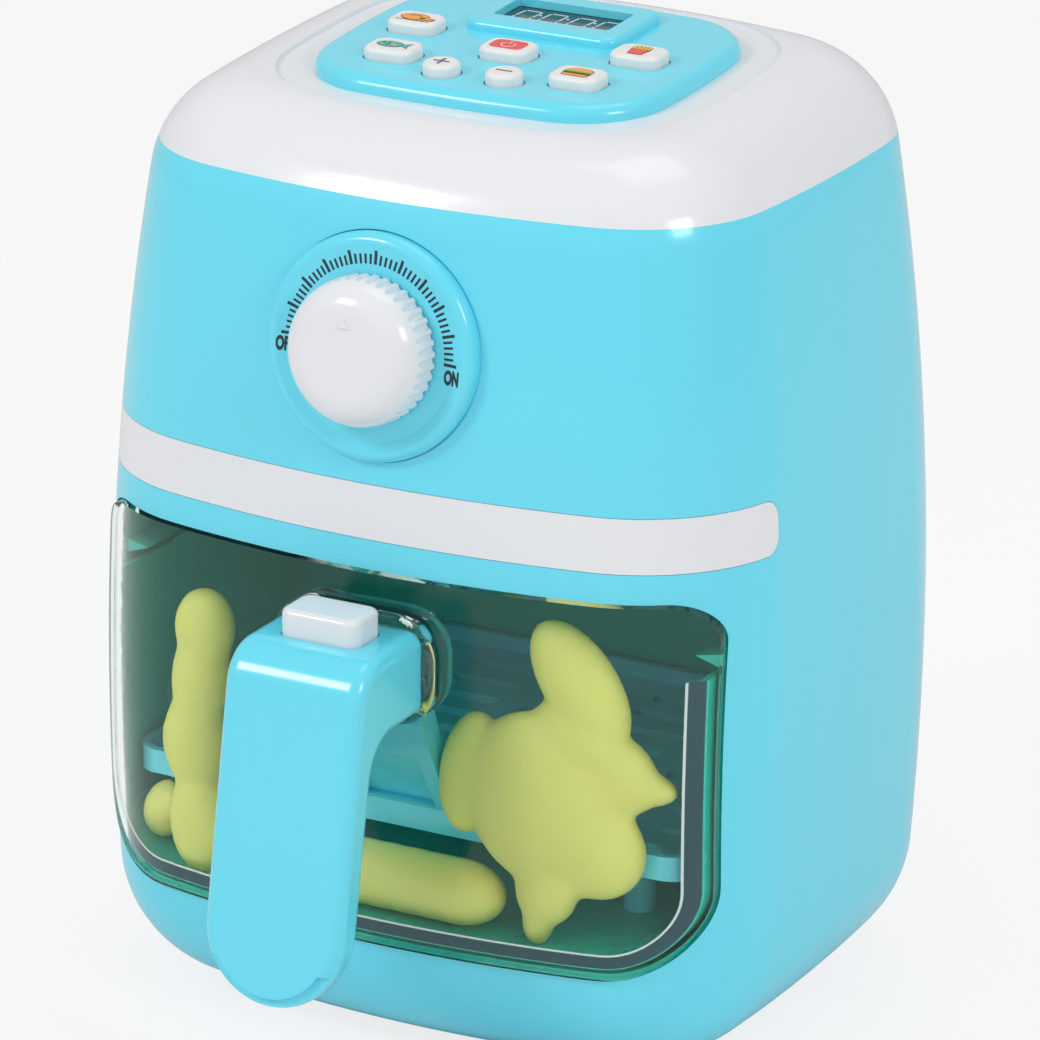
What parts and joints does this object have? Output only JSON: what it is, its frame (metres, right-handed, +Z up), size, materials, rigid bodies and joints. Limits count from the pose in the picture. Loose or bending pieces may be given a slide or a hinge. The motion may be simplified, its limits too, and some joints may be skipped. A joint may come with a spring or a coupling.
{
  "type": "toy air fryer",
  "caption": "Child's play air fryer: rounded body, key panel on top, timer dial, and a pull-out clear-front drawer with handle, rack and play food.",
  "frame": {"origin": "centre of the footprint, on the surface that the feet stand on", "axes": "+Z up; -Y towards the front, where the drawer's handle is; +X to the right of someone who faces the front"},
  "size_m": [0.18, 0.2054, 0.2396],
  "materials": {
    "teal_plastic": "gloss",
    "white_plastic": "gloss",
    "clear_plastic": "clear, gloss",
    "grey_plastic": "satin",
    "key_plastic": "satin",
    "food_vinyl": "soft, slightly see-through",
    "dark_lens": "gloss",
    "silicone": "matt",
    "foot_rubber": "matt",
    "board": "satin",
    "screw_steel": "zinc plated",
    "spring_steel": "bright",
    "cell_jacket": "printed jacket",
    "speaker_metal": "dark",
    "wire": "matt"
  },
  "bodies": {
    "body": {"housing_shell": "teal_plastic", "lid": "white_plastic", "lid_screws": "screw_steel", "accent_band": "white_plastic", "chamber_liner": "teal_plastic", "base_plate": "teal_plastic", "base_screws": "screw_steel", "rubber_feet": "foot_rubber", "battery_door": "teal_plastic", "battery_door_screw": "screw_steel", "battery_cells": "cell_jacket", "battery_contacts": "spring_steel", "dial_bezel": "teal_plastic", "dial_switch": "grey_plastic", "dial_screws": "screw_steel", "control_panel": "teal_plastic", "keypad_mat": "silicone", "control_board": "board", "board_screws": "screw_steel", "display_lens": "dark_lens", "display_module": "grey_plastic", "speaker": "speaker_metal", "speaker_screws": "screw_steel", "battery_leads": "wire", "speaker_leads": "wire", "dial_leads": "wire"},
    "drawer": {"drawer_window": "clear_plastic", "drawer_tray": "teal_plastic", "crisper_rack": "teal_plastic", "handle_bracket": "clear_plastic", "handle_front_cover": "teal_plastic", "handle_rear_shell": "teal_plastic", "handle_screws": "screw_steel", "bracket_screws": "screw_steel", "release_spring": "spring_steel", "roast_chicken": "food_vinyl", "drumstick": "food_vinyl", "nugget": "food_vinyl", "sausage": "food_vinyl"},
    "release": {"release_button": "white_plastic"},
    "dial": {"timer_knob": "white_plastic", "timer_shaft": "grey_plastic"},
    "roast_key": {"roast_button": "key_plastic"},
    "fries_key": {"fries_button": "key_plastic"},
    "fish_key": {"fish_button": "key_plastic"},
    "burger_key": {"burger_button": "key_plastic"},
    "power_key": {"power_button": "key_plastic"},
    "plus_key": {"plus_button": "key_plastic"},
    "minus_key": {"minus_button": "key_plastic"}
  },
  "joints": [
    {"name": "drawer_slide", "type": "slide", "parent": "body", "child": "drawer", "axis": [0, -1, 0], "range_m": [0, 0.115]},
    {"name": "release_press", "type": "slide", "parent": "drawer", "child": "release", "axis": [0, 0, -1], "range_m": [0, 0.002], "stiffness_N_per_m": 400, "springref_m": -0.0005, "deforming": ["release_spring"]},
    {"name": "timer_turn", "type": "hinge", "parent": "body", "child": "dial", "pos_m": [0, -0.05243, 0.181], "axis": [0, -0.9949, 0.1013], "range_deg": [-95, 95]},
    {"name": "roast_press", "type": "slide", "parent": "body", "child": "roast_key", "axis": [0, 0.0558, -0.9984], "range_m": [0, 0.001], "stiffness_N_per_m": 300, "springref_m": -0.0005, "deforming": ["keypad_mat"]},
    {"name": "fries_press", "type": "slide", "parent": "body", "child": "fries_key", "axis": [0, 0.0558, -0.9984], "range_m": [0, 0.001], "stiffness_N_per_m": 300, "springref_m": -0.0005, "deforming": ["keypad_mat"]},
    {"name": "fish_press", "type": "slide", "parent": "body", "child": "fish_key", "axis": [0, 0.0558, -0.9984], "range_m": [0, 0.001], "stiffness_N_per_m": 300, "springref_m": -0.0005, "deforming": ["keypad_mat"]},
    {"name": "burger_press", "type": "slide", "parent": "body", "child": "burger_key", "axis": [0, 0.0558, -0.9984], "range_m": [0, 0.001], "stiffness_N_per_m": 300, "springref_m": -0.0005, "deforming": ["keypad_mat"]},
    {"name": "power_press", "type": "slide", "parent": "body", "child": "power_key", "axis": [0, 0.0558, -0.9984], "range_m": [0, 0.001], "stiffness_N_per_m": 300, "springref_m": -0.0005, "deforming": ["keypad_mat"]},
    {"name": "plus_press", "type": "slide", "parent": "body", "child": "plus_key", "axis": [0, 0.0558, -0.9984], "range_m": [0, 0.001], "stiffness_N_per_m": 300, "springref_m": -0.0005, "deforming": ["keypad_mat"]},
    {"name": "minus_press", "type": "slide", "parent": "body", "child": "minus_key", "axis": [0, 0.0558, -0.9984], "range_m": [0, 0.001], "stiffness_N_per_m": 300, "springref_m": -0.0005, "deforming": ["keypad_mat"]}
  ]
}
